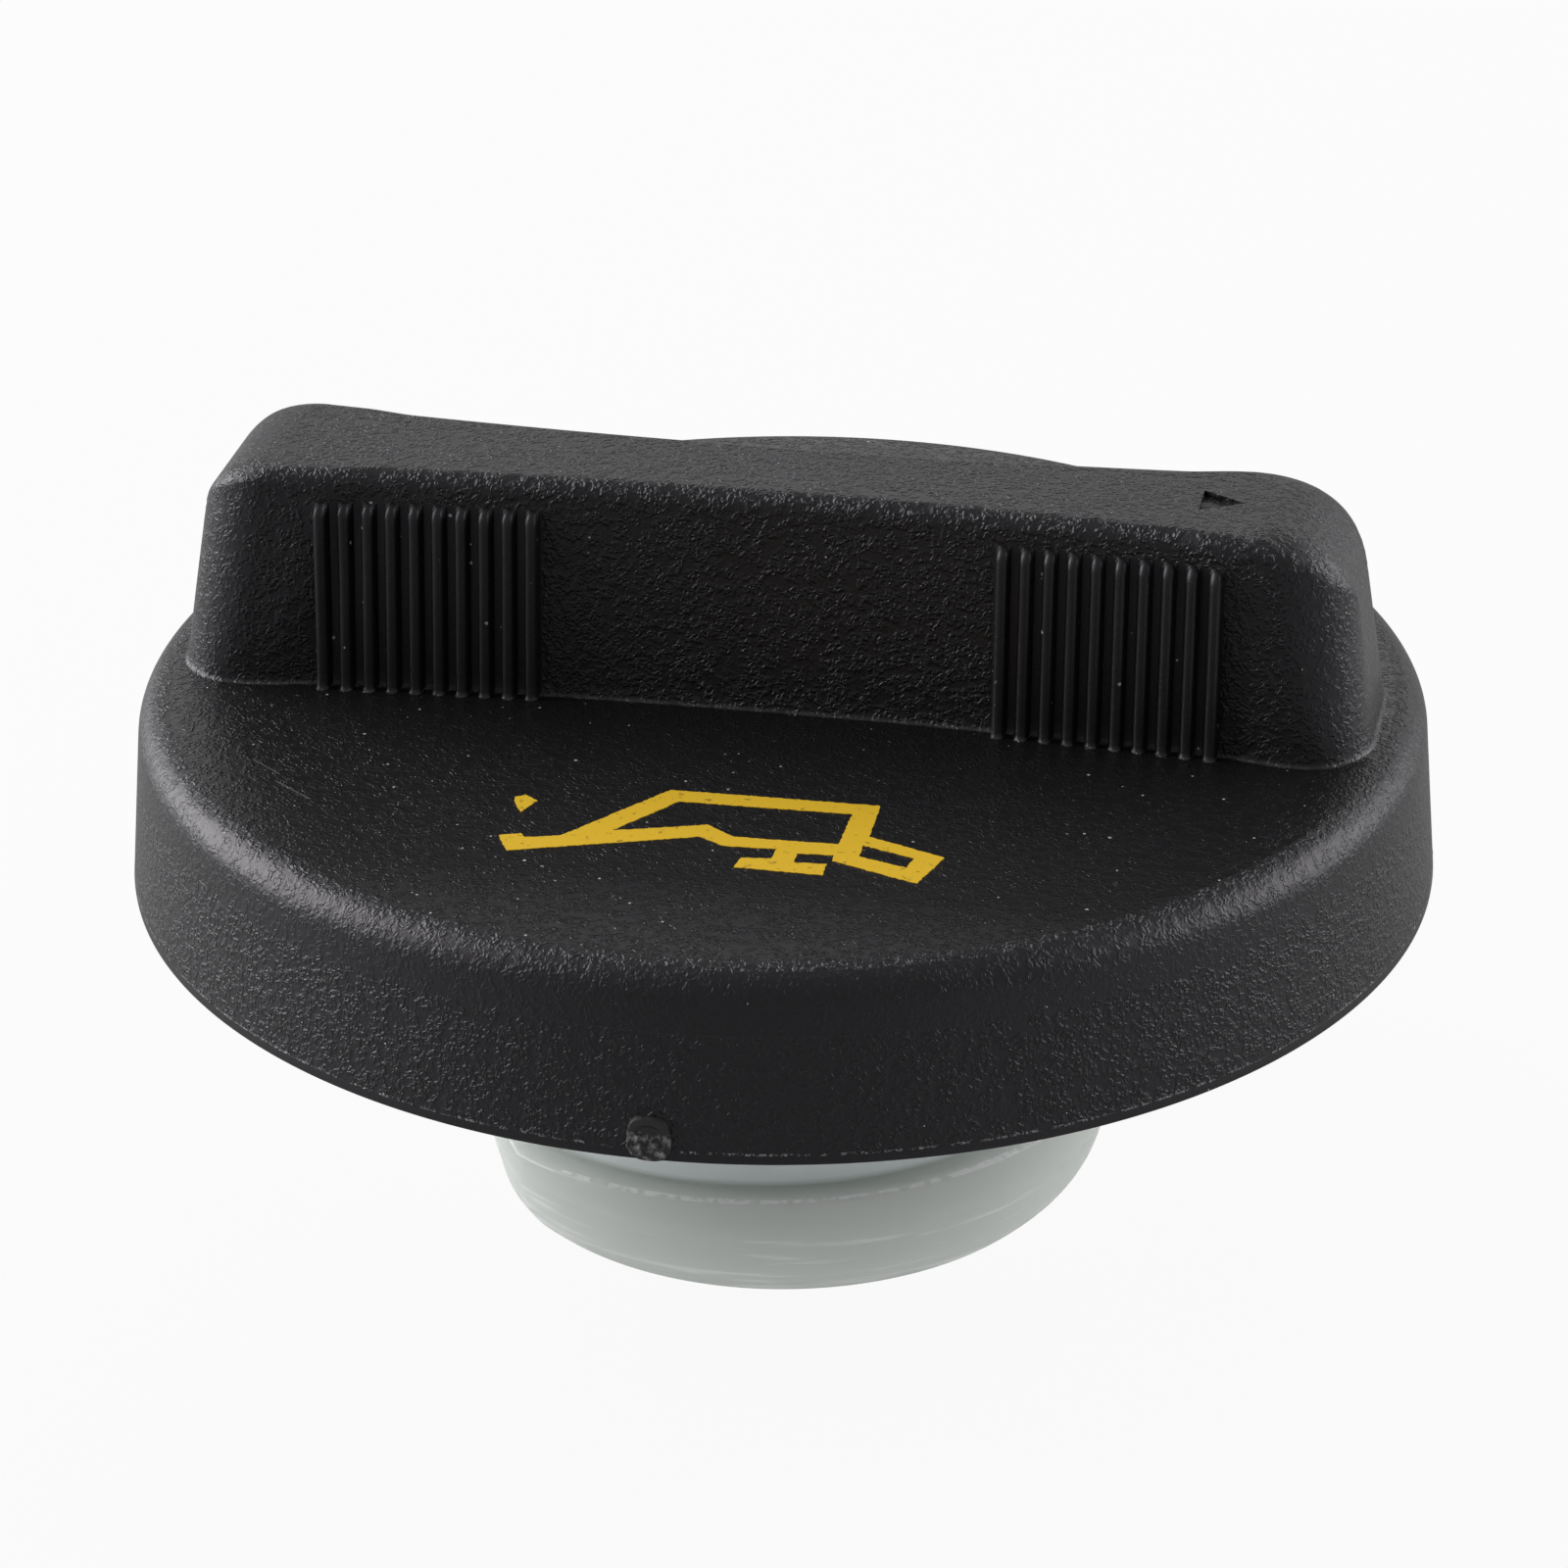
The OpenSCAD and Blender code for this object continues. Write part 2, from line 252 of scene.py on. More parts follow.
def blackPlastic(s):
    f = Finish("grainedBlack")
    where = f.where()
    x, y, z = f.axes(where)
    radius = (x * x + y * y).root()
    onTop = discTop + s["near"]
    ribs = between(abs(x), s["ribFrom"], s["ribTo"]) * between(z, onTop, discTop + s["ribTop"]) * (abs(y) < s["ribOut"])
    lip = z < skirtFoot + s["lipTop"]
    inside = (z < s["insideTop"]) * (radius < s["insideOut"])
    grained = (1.0 - ribs) * (1.0 - lip) * (1.0 - inside)
    rim = between(z, discTop - s["rimLow"], discTop - s["rimHigh"])
    ends = ((abs(x) - s["endFrom"]) * s["endFade"]).clipped() * (z > onTop)
    disc = between(z, discTop - s["near"], onTop) * (radius < s["discOut"])

    # the grain: ridges where a warped noise crosses its middle, kept in patches, over a finer noise
    wavy = f.noise(where, s["ridgeScale"], 1.0, s["ridgeWarp"])
    patches = f.noise(where, s["patchScale"], 1.0)
    fine = f.noise(where, s["fineScale"], 1.0)
    kept = ((patches - s["patchFrom"]) * s["patchSharp"]).clipped()
    ridges = (1.0 - abs(wavy - 0.5) * s["ridgeSharp"]).clipped() * kept
    height = ((ridges + fine * s["fineShare"]) * (grained + s["onSmooth"]) * (1.0 - disc * (1.0 - s["onDisc"]))
              * (1.0 - ends * s["offEnds"]) * (1.0 - rim * s["offRim"]))

    # pale marks: dust specks in cells chosen by colour, a painted highlight on the bar's foot, the flash line, two
    # scratches
    dots = f.node("ShaderNodeTexVoronoi", {}, {"Vector": where, "Scale": s["dustScale"]})
    chosen = f.node("ShaderNodeSeparateColor", {}, {"Color": dots.other(1)})
    size = chosen * (disc * s["dustOnDisc"] + ribs * s["dustOnRibs"] + s["dustSize"])
    dust = (dots < size) * (fine > s["dustChance"])
    # painted highlight: a pale line along the hollow fillet at the bar's foot, where light catches it
    paintedFootHighlight = between(z, discTop + s["footLow"], discTop + s["footHigh"]) * (1.0 - ribs)
    flash = (between(z, skirtFoot + s["flashLow"], skirtFoot + s["flashHigh"])
             * ((patches - 0.42) * 6.0).clipped() * ((fine - 0.46) * 9.0).clipped())
    first, second = [stroke(x, y, start, end, s["scratchHalf"]) for start, end in s["scratches"]]
    pale = (dust * s["dustPale"] + flash * s["flashPale"]
            + paintedFootHighlight * (patches * 2.0 - 0.5).clipped() * s["footHighlightPale"]
            + (first + second) * s["scratchPale"] * (z > discTop - 0.5)).clipped()
    colour = f.mixed(pale, s["colour"], s["paleMarkAndHighlightColour"])
    # the reflections' mauve tint is painted light: it stands in for the colour of the light
    more = {"Normal": f.bump(height, s["grainDepth"]), "Specular Tint": s["paintedLightTint"]}
    return f.plastic(colour, s["roughness"] - disc * s["discShine"], more)


tornSet = {"scale": 3200.0, "depth": 0.05, "tornFrom": 0.45, "tornSharp": 5.0, "tornTop": 1.5,
           "colour": (0.02, 0.02, 0.021, 1), "tornColour": (0.16, 0.16, 0.165, 1), "roughness": 0.5}


def tornPlastic(s):               # paler where it tore, in the stub's lower part
    f = Finish("tornBlack")
    where = f.where()
    z = f.axes(where)[2]
    rough = f.noise(where, s["scale"], 2.0)
    torn = ((rough - s["tornFrom"]) * s["tornSharp"]).clipped() * (z < skirtFoot + s["tornTop"])
    colour = f.mixed(torn, s["colour"], s["tornColour"])
    return f.plastic(colour, s["roughness"], {"Normal": f.bump(rough, s["depth"])})


rubberSet = {"colour": (0.012, 0.012, 0.013, 1), "roughness": 0.7}


def sealRubber(s):
    return Finish("sealRubber").plastic(s["colour"], s["roughness"])


# ledge: its height in the middle, its rise per mm along x and its bend per mm squared
# foot is a paler colour towards the plug's foot and the colour above the ledge is paler and bluer: both are painted
# light
nylonSet = {
    "thin": (0.515, 0.542, 0.515, 1), "thick": (0.545, 0.572, 0.547, 1), "foot": (0.58, 0.609, 0.58, 1),
    "paintedLightAboveLedge": (0.74, 0.79, 0.795, 1), "scuffAndHighlight": (0.95, 0.96, 0.98, 1), "roughness": 0.34, "milk": 8.0,
    "cloudScale": 90.0, "speckScale": 1900.0, "streakScale": 150.0, "streakFlat": 14.0, "depth": 0.3,
    "ledge": 6.88, "ledgeRise": 0.042, "ledgeBend": 0.0012, "ledgeOut": 17.75, "edgeLow": -0.11,
    "edgeHigh": 0.05, "edgeScuffAndHighlightPale": 0.35, "rubbedLow": 0.5, "rubbedHigh": 4.6, "rubbedOut": 15.5,
    "rubbedPale": 0.25, "paintedLightFootTop": 6.5, "paintedLightFootFade": 0.22}


def milkyNylon(s):                # paler and bluer above the ledge, painted light and shade; paler towards the foot, painted light; a pale ledge edge, partly scuffs and partly a painted highlight; rubbed streaks round the lead-in
    f = Finish("milkyNylon")
    where = f.where()
    x, y, z = f.axes(where)
    cloud = f.noise(where, s["cloudScale"], 2.0)
    specks = f.noise(where, s["speckScale"], 2.0)
    flat = f.node("ShaderNodeMapping", {}, {"Vector": where, "Scale": (1.0, 1.0, s["streakFlat"])})
    streaks = f.noise(flat, s["streakScale"], 3.0)
    front = x * ((y < 0.0) * 2.0 - 1.0)              # x for the front lug, -x for the back one
    ledge = s["ledge"] + front * s["ledgeRise"] - front * front * s["ledgeBend"]
    # painted light and shade: above the ledge the colour is paler, against the skirt's shadow, and bluer, like that
    # shadowed band
    above = ((z - ledge) * 3.0).clipped()
    radius = (x * x + y * y).root()
    # pale speckled line along the ledge's edge: partly scuffs, partly a painted highlight
    edge = (between(z - ledge, s["edgeLow"], s["edgeHigh"]) * (radius > s["ledgeOut"])
            * ((specks - 0.4) * 6.0).clipped())
    rubbed = (((streaks - 0.56) * 12.0).clipped() * between(z, s["rubbedLow"], s["rubbedHigh"])
              * (radius > s["rubbedOut"]))
    # painted light: the colour grows paler towards the foot, for light from the floor below
    foot = ((s["paintedLightFootTop"] - z) * s["paintedLightFootFade"]).clipped()
    body = f.mixed(foot, f.mixed(cloud, s["thin"], s["thick"]), s["foot"])
    withPaintedLight = f.mixed(above, body, s["paintedLightAboveLedge"])
    wearAndHighlight = (edge * s["edgeScuffAndHighlightPale"] + rubbed * s["rubbedPale"]).clipped()
    roughness = s["roughness"] + rubbed * 0.25 + specks * 0.12
    bump = f.bump(cloud + streaks * 0.15 + edge * 0.2, s["depth"], 0.4)
    more = {"Normal": bump, "Subsurface Weight": 1.0, "Subsurface Radius": (1.0, 1.0, 1.0),
            "Subsurface Scale": s["milk"] * mm}
    return f.plastic(f.mixed(wearAndHighlight, withPaintedLight, s["scuffAndHighlight"]), roughness, more)


inkSet = {"scale": 2600.0, "depth": 0.012, "wornFrom": 0.62, "wornSharp": 8.0, "roughness": 0.5,
          "colour": (0.75, 0.47, 0.018, 1), "wornColour": (0.3, 0.18, 0.01, 1)}


def signInk(s):                   # yellow, worn dark in small spots
    f = Finish("yellowInk")
    fine = f.noise(f.where(), s["scale"], 2.0)
    colour = f.mixed(((fine - s["wornFrom"]) * s["wornSharp"]).clipped(), s["colour"], s["wornColour"])
    return f.plastic(colour, s["roughness"], {"Normal": f.bump(fine, s["depth"])})


black = blackPlastic(blackSet)
torn = tornPlastic(tornSet)
milky = milkyNylon(nylonSet)
yellow = signInk(inkSet)
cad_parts["seal_ring"].data.materials[0] = sealRubber(rubberSet)
print("materials done")


shellSet = {"rimRadius": 35.0, "topRadius": 34.2, "round": 1.9, "wall": 2.0, "innerRound": 0.8,
            "columns": 480, "flashHeight": 0.55, "flashHalf": 0.015, "flashProud": 0.05}
socketSet = {"inner": 22.5, "outer": 24.1, "lipRadius": 21.8, "lipTop": 24.5, "lipThick": 0.47,
             "foot": 23.1, "sunk": 0.6, "columns": 240, "keyWide": 4.0, "keyReach": 1.3, "keyFoot": 24.6,
             "webs": 8, "webWide": 1.3, "webDeep": 2.4}


def skirtLean(s):                  # how much the skirt's radius falls for each mm of height
    return (s["rimRadius"] - s["topRadius"]) / (discTop - skirtFoot)


def capShellParts(s, k):
    # a profile turned round the axis: the skirt's radius is rimRadius - lean * height, a circle's arc that it
    # touches leads on to the flat top, and the flash line's two rows stand out by flashProud * random squared
    lean = skirtLean(s)
    slope = math.degrees(math.atan(lean))
    tilt = math.radians(slope)
    edgeX = s["topRadius"] + s["round"] * (math.tan(tilt) - 1 / math.cos(tilt))
    line, half = skirtFoot + s["flashHeight"], s["flashHalf"]
    under, inside = discTop - topWall, s["topRadius"] - s["wall"]
    corner, foot = s["innerRound"], s["rimRadius"] - s["wall"]

    def skirt(z):
        return s["rimRadius"] - lean * (z - skirtFoot)

    ceiling = [(0, under), (10, under), (20, under), (inside - 1.2, under)]
    innerCorner = arcPoints(inside - corner, under - corner, corner, 90, 0, 5)
    edge = [(foot, skirtFoot + 0.15), (foot + 0.15, skirtFoot), (s["rimRadius"] - 0.07, skirtFoot),
            (s["rimRadius"] - 0.02, skirtFoot + 0.02)]
    lip = [(skirt(z), z) for z in (skirtFoot + 0.12, skirtFoot + 0.3, line - 0.08, line - 0.03)]
    ridge = [(skirt(line) - 0.01, line - half), (skirt(line) - 0.01, line + half)]
    wall = [(skirt(z), z) for z in (line + 0.04, line + 0.15, line + 0.5, 20.8, 22, 23.2, 24.4, 25.6, 26.6)]
    outerCorner = arcPoints(edgeX, discTop - s["round"], s["round"], slope, 90, 16)
    top = [(r, discTop) for r in (31, 29, 26, 22, 18, 14, 10, 5, 0)]
    profile = np.concatenate([ceiling, innerCorner, edge, lip, ridge, wall, outerCorner, top])
    angles = np.linspace(-np.pi, np.pi, s["columns"] + 1)[:-1]
    grid = turned(profile, angles)
    first = len(ceiling) + len(innerCorner) + len(edge) + len(lip)      # the flash line's first row
    proud = s["flashProud"] * (ragged(angles, 700, 11) ** 2) * (ragged(angles, 90, 12) > 0.25)
    grid[first:first + 2, :, :2] *= (1 + proud / s["rimRadius"])[None, :, None]

    ringTop = under + k["sunk"]
    ring = np.array([(k["inner"], ringTop), (k["inner"], k["lipTop"]), (k["lipRadius"], k["lipTop"]),
                     (k["lipRadius"], k["lipTop"] - k["lipThick"]), (k["inner"], k["foot"]),
                     (k["outer"], k["foot"]), (k["outer"], ringTop), (k["inner"], ringTop)])
    socket = turned(ring, np.linspace(-np.pi, np.pi, k["columns"] + 1)[:-1])
    keyHalf, keyIn = k["keyWide"] / 2, k["inner"] - k["keyReach"]
    webHalf, webIn = k["webWide"] / 2, (k["inner"] + k["outer"]) / 2
    boxes = [(-keyHalf, keyHalf, -k["inner"] - 0.3, -keyIn, k["keyFoot"], under + 0.3, turn) for turn in (0, 180)]
    boxes += [(webIn, inside + 0.9, -webHalf, webHalf, under - k["webDeep"], ringTop,
               (i + 0.5) * 360 / k["webs"]) for i in range(k["webs"])]
    return [gridPart(grid), gridPart(socket), boxParts(boxes)]


barSet = {"height": 11.9, "waistHalf": 4.6, "hollow": 560.0, "endHalf": 6.28, "flare": 0.28, "flareAt": 24.2,
          "flareLean": 3.5, "flareLong": 3.0, "sideDraft": 5.0, "longEdge": 0.9, "footRound": 0.28,
          "sink": 0.9, "sideEnd": 24.2, "cornerSteps": 12, "creaseSteps": 8, "spine": 20.0}
endSets = {-1: {"reach": 32.0, "draft": 8.0, "nose": 4.2, "corner": 3.4, "crease": 1.6},
           1: {"reach": 31.85, "draft": 7.9, "nose": 5.0, "corner": 3.6, "crease": 2.4}}
ribSet = {"count": 10, "pitch": 1.245, "first": 12.5, "wide": 0.74, "proud": 0.75, "top": 10.3, "slope": 0.75,
          "step": 0.25, "blunt": 2.6}
pocketSet = {"wall": 2.1, "widthAt": 27.0, "widthTop": 9.5, "square": 0.25, "columns": 48}
arrowSet = {"tip": 24.5, "tail": 22.2, "wide": 2.6, "deep": 0.28}


def barReach(z, b, e):
    # half length: reach - tangent of draft * z up to where the nose's circle touches, then that circle
    draft = math.radians(e["draft"])
    noseZ = b["height"] - e["nose"]
    touch = noseZ + e["nose"] * math.sin(draft)
    noseX = e["reach"] - math.tan(draft) * touch - e["nose"] * math.cos(draft)
    onNose = noseX + np.sqrt(np.maximum(0, e["nose"] ** 2 - np.maximum(0, z - noseZ) ** 2))
    return np.where(z > touch, onNose, e["reach"] - math.tan(draft) * z)


def barHalf(x, z, b):
    # half width: waist + xx / hollow + flare, at most endHalf, less tangent of draft * z and the rounded long edge
    lean = math.tan(math.radians(b["sideDraft"])) * z
    flareFrom = b["flareAt"] - b["flareLean"] * z / b["height"]
    flare = b["flare"] * smoothStep((np.abs(x) - flareFrom) / b["flareLong"])
    face = b["waistHalf"] + x * x / b["hollow"] + flare
    up = np.clip(z - (b["height"] - b["longEdge"]), 0, b["longEdge"])
    return np.minimum(face, b["endHalf"]) - lean - (b["longEdge"] - np.sqrt(b["longEdge"] ** 2 - up * up))


def ribHeight(x, z, r):
    # proud * (a step at the rib's side + the rest * root of 1 - away to a power - up squared), so that the sides
    # are rounded and the upper end goes back in a quarter circle
    nearest = r["first"] + r["pitch"] * np.clip(np.round((np.abs(x) - r["first"]) / r["pitch"]), 0, r["count"] - 1)
    away = np.abs(np.abs(x) - nearest) / (r["wide"] / 2)
    up = np.clip((z - r["top"] + r["slope"]) / r["slope"], 0, 1)
    crown = np.sqrt(np.clip(1 - np.clip(away, 0, 1) ** r["blunt"] - up ** 2, 0, 1))
    step = np.where(away < 0.999, r["step"], np.clip(1.12 - away, 0, 0.12)) * np.sqrt(1 - up ** 2)
    return r["proud"] * (step + (1 - r["step"]) * crown)


def barQuarter(b, r, e):
    # plan outline from the middle of one long side to the end, at each level: y = half width along x, then the
    # corner's circle up to where the crease's smaller circle touches it, that circle, and straight to the middle
    centres = r["first"] + r["pitch"] * np.arange(r["count"])
    offsets = r["wide"] / 2 * np.array([0, 0.3, 0.5, 0.67, 0.8, 0.9, 0.96, 1, 1.12, 1.5])
    onRibs = (centres[:, None] + np.concatenate([-offsets[::-1], offsets])).ravel()
    side = np.concatenate([np.linspace(0, centres[0] - 0.8, 32), onRibs, [b["sideEnd"]]])
    side = np.unique(np.round(side, 4))
    side = side[side <= b["sideEnd"]]
    beyond = np.linspace(0, 1, 9)[1:]
    flat = np.linspace(1, 0, 6)[1:]
    footLevels = [-b["sink"], -0.3, 0, 0.02, 0.05, 0.1, 0.17, 0.28]
    ribEnds = r["top"] - r["slope"] * np.array([1.01, 0.85, 0.7, 0.55, 0.4, 0.28, 0.18, 0.1, 0.05, 0.02, 0])
    edgeLevels = b["height"] - b["longEdge"] + b["longEdge"] * np.sin(np.radians(np.linspace(0, 90, 15)))
    levels = np.concatenate([footLevels, np.arange(1, 9.3, 0.5), ribEnds, [10.35, 10.6, 10.8], edgeLevels])
    z = np.maximum(levels, 0)[:, None]

    reach = barReach(z, b, e)
    back = e["reach"] - math.tan(math.radians(e["draft"])) * z - reach     # how far the nose cuts the end back
    big, small = e["corner"], e["crease"]
    left = big - small - back      # where the crease's circle sits along the corner's circle
    start = reach + back - big + np.minimum(0, left)
    scale = np.minimum(1, (start - 0.8) / b["sideEnd"])
    last = b["sideEnd"] * scale
    xSide = np.concatenate([side[None, :] * scale, last + (start - last) * beyond[None, :]], 1)
    ySide = barHalf(xSide, z, b)
    endHalf = ySide[:, -1:]

    meets = np.arcsin(np.clip(left / (big - small), 0, 1))
    onCorner = meets * np.linspace(0, 1, b["cornerSteps"] + 1)[1:]
    onCrease = meets + (np.pi / 2 - meets) * np.linspace(0, 1, b["creaseSteps"] + 1)[1:]
    turn = np.concatenate([onCorner, onCrease], 1)
    inCrease = np.arange(turn.shape[1])[None, :] >= b["cornerSteps"]
    creaseY = endHalf - big + np.sqrt((big - small) ** 2 - np.maximum(left, 0) ** 2)
    xTurn = np.where(inCrease, reach - small + small * np.sin(turn), start + big * np.sin(turn))
    yTurn = np.where(inCrease, creaseY + small * np.cos(turn), endHalf - big * (1 - np.cos(turn)))
    xEnd, yEnd = reach + 0 * flat, creaseY * flat

    outX = np.concatenate([0 * xSide, np.sin(turn), 1 + 0 * xEnd], 1)
    outY = np.concatenate([1 + 0 * ySide, np.cos(turn), 0 * yEnd], 1)
    rise = np.clip(b["footRound"] - z, 0, b["footRound"])
    foot = b["footRound"] - np.sqrt(b["footRound"] ** 2 - rise ** 2)       # the hollow fillet at the bar's foot
    ribs = np.concatenate([ribHeight(xSide, z, r), 0 * xTurn, 0 * xEnd], 1)
    x = np.concatenate([xSide, xTurn, xEnd], 1) + outX * foot
    y = np.concatenate([ySide, yTurn, yEnd], 1) + outY * foot + ribs
    return x, y, levels


def fingerBarParts(b, r):
    # four quarters make a closed outline at each level, the outlines make the bar, and its foot and its top
    # close on a line along the middle: line + (outline - line) * share
    x, y, levels = barQuarter(b, r, endSets[1])
    mx, my, levels = barQuarter(b, r, endSets[-1])
    plan = np.concatenate([np.stack([x, -y], -1), np.stack([x, y], -1)[:, ::-1][:, 1:],
                           np.stack([-mx, my], -1)[:, 1:], np.stack([-mx, -my], -1)[:, ::-1][:, 1:-1]], 1)
    heights = np.broadcast_to(discTop + levels[:, None, None], plan.shape[:2] + (1,))
    grid = np.concatenate([plan, heights], -1)

    def onSpine(ring):
        return np.stack([np.clip(ring[:, 0], -b["spine"], b["spine"]), 0 * ring[:, 0], ring[:, 2]], -1)

    spine = onSpine(grid[-1])
    closing = np.stack([spine + (grid[-1] - spine) * share for share in (0.96, 0.8, 0.5, 0.2, 0)])
    return [gridPart(np.concatenate([onSpine(grid[0])[None], grid, closing]))]


def pocketParts(s, b, k):
    # hollows under the bar's ends: middle + half length * squared cosine, half width * squared sine, and both
    # halves shrink with height as the bar's own do
    parts = []
    angle = np.linspace(0, 2 * np.pi, s["columns"] + 1)[:-1]
    z = np.array([-4.0, 0, 2, 4, 6, 7, 8, 8.8, 9.4, b["height"] - s["wall"]])[:, None]
    half = barHalf(s["widthAt"], np.clip(z, 0, s["widthTop"]), b) - s["wall"]
    for side in (-1, 1):
        outX = barReach(np.maximum(z, 0) + s["wall"] * 0.4, b, endSets[side]) - s["wall"]
        x = (k["outer"] + outX) / 2 + (outX - k["outer"]) / 2 * squared(np.cos(angle), s["square"])
        ring = np.stack([side * x, half * squared(np.sin(angle), s["square"]), discTop + z + 0 * x], -1)
        low, high = [np.broadcast_to(ring[i].mean(axis=0), (1,) + ring[i].shape) for i in (0, -1)]
        parts.append(gridPart(np.concatenate([low, ring, high])))
    return parts


def arrowParts(a, b):              # a prism: the arrow's flat outline at two heights
    top = discTop + b["height"]
    flat = np.array([(a["tip"], 0), (a["tail"], a["wide"] / 2), (a["tail"], -a["wide"] / 2)])
    grid = np.stack([np.column_stack([flat, np.full(3, h)]) for h in (top - a["deep"], top + 0.5)])
    low, high = [np.broadcast_to(outline.mean(axis=0), (1, 3, 3)) for outline in grid]
    return [gridPart(np.concatenate([low, grid, high]))]


shell = makeObject("capShell", capShellParts(shellSet, socketSet), black)
cutAway(shell, pocketParts(pocketSet, barSet, socketSet))
dress(shell, "cap_black", "grip_cap")
print("cap shell done", len(shell.data.polygons))

fingerBar = makeObject("fingerBar", fingerBarParts(barSet, ribSet), black)
cutAway(fingerBar, pocketParts(pocketSet, barSet, socketSet) + arrowParts(arrowSet, barSet))
dress(fingerBar, "cap_black", "grip_cap")
print("finger bar done", len(fingerBar.data.polygons))


gateSet = {"x": 0.24, "y": -35.0, "half": 1.18, "low": 18.85, "high": 21.45, "square": 0.7, "rows": 30,
           "columns": 72, "pad": 0.08, "arch": 0.16, "sunk": 0.02, "deep": 0.7, "lumps": 40, "lumpHigh": 0.34,
           "lumpAcross": 2.3, "lumpFoot": 0.15, "lumpTall": 1.35, "lumpWide": 0.09, "lumpWider": 0.12}


def gateParts(g):
    # a polar grid laid on the skirt, radius = skirt's + pad + arch + lumps: the arch is a raised band round the
    # upper part, and each lump is high * e to the minus (distance / wide) squared, at a random place lower down
    ring = np.linspace(0, 1, g["rows"])[:, None]
    turn = np.linspace(0, 2 * np.pi, g["columns"] + 1)[:-1][None, :]
    across = g["half"] * ring * squared(np.cos(turn), g["square"])
    middle, halfTall = (g["low"] + g["high"]) / 2, (g["high"] - g["low"]) / 2
    z = middle + halfTall * ring * squared(np.sin(turn), g["square"])
    arch = smoothStep((ring - 0.45) / 0.2) * smoothStep((0.97 - ring) / 0.12) * smoothStep(np.sin(turn) / 0.4)
    out = g["pad"] * smoothStep((1 - ring) / 0.18) + g["arch"] * arch + 0 * z - g["sunk"]
    chance = np.random.default_rng(7)
    for cx, cz, size, high in chance.random((g["lumps"], 4)):
        px, pz = (cx - 0.5) * g["lumpAcross"], g["low"] + g["lumpFoot"] + cz * g["lumpTall"]
        wide = g["lumpWide"] + g["lumpWider"] * size
        lump = np.exp(-((across - px) ** 2 + (z - pz) ** 2) / wide ** 2)
        out = out + g["lumpHigh"] * (high - 0.25) * lump * smoothStep((1 - ring) / 0.1)
    rim = shellSet["rimRadius"]
    radius = rim - skirtLean(shellSet) * (z - skirtFoot) + out - 0.25 * smoothStep((ring - 0.93) / 0.07)
    angle = math.atan2(g["y"], g["x"]) + across / rim
    grid = np.stack([radius * np.cos(angle), radius * np.sin(angle), z], -1)
    inner = radius - g["deep"]
    back = np.stack([inner * np.cos(angle), inner * np.sin(angle), np.maximum(z, skirtFoot + 0.1)], -1)[-1:]
    centre = np.broadcast_to(back.mean(axis=1, keepdims=True), back.shape)
    return [gridPart(np.concatenate([grid, back, centre]))]


gate = makeObject("gateStub", gateParts(gateSet), torn, 60)
dress(gate, "cap_black", "grip_cap")
print("gate stub done", len(gate.data.polygons))


# climb: degrees along the lug, and the ledge's height there
plugSet = {"barrel": 16.3, "bore": 13.7, "boreRound": 0.8, "rim": 15.4, "leadHeight": 2.6, "flange": 22.3,
           "flangeThick": 2.2, "crown": 2.4, "lug": 18.1, "lugLow": 17.45, "lugLowTop": 4.7, "lugTop": 7.24,
           "lugStart": -152.0, "lugSweep": 154.0, "growSweep": 21.0, "bulge": 0.12, "lugBulge": 0.3,
           "edge": 0.2, "notchHalf": 5.75, "notchDeep": 1.3,
           "climb": [(0, 5.6), (20, 6.02), (28, 6.2), (37, 6.45), (42, 6.56), (50, 6.7), (63, 6.88),
                     (81, 7.02), (110, 7.24)]}


def plugRows(p):
    # the outside from the rim up, in rows of (barrel radius, barrel height, lug radius, lug height, share of the
    # ledge's climb): straight lines, with a bulge * sine of pi t on the lead-in and a quarter circle on the ledge
    rim, lead, barrel, lug = p["rim"], p["leadHeight"], p["barrel"], p["lug"]
    low, lowTop, top, edge = p["lugLow"], p["lugLowTop"], p["lugTop"], p["edge"]
    rows = [(rim - 0.35, 0, rim - 0.35, 0, 0), (rim - 0.12, 0.05, rim - 0.12, 0.05, 0),
            (rim + 0.02, 0.18, rim + 0.06, 0.18, 0)]
    for t in np.linspace(0.12, 0.94, 8):
        bulge = math.sin(math.pi * t)
        rows.append((rim + (barrel - rim) * t + p["bulge"] * bulge, lead * t,
                     rim + (low - rim) * t + p["lugBulge"] * bulge, lead * t, 0))
    for t in np.linspace(0.06, 0.94, 6):
        z = lead + (lowTop - lead) * t
        rows.append((barrel, z, low + (lug - low) * t, z, 0))
    rows += [(barrel, z, lug, z, (z - lowTop) / (top - lowTop)) for z in (lowTop + 0.15, 5.4, 6.1, top - edge)]
    for a in np.radians(np.linspace(0, 90, 5))[1:]:
        z = top - edge + edge * math.sin(a)
        rows.append((barrel, z, lug - edge + edge * math.cos(a), z, 1))
    rows += [(barrel, top + 0.001 * i, r, top, 1) for i, r in enumerate((17.4, 17.0, 16.7, 16.5))]
    rows += [(barrel, top + 0.1, barrel + 0.06, top + 0.06, 1), (barrel, top + 0.25, barrel, top + 0.25, 0.9)]
    return np.array(rows)


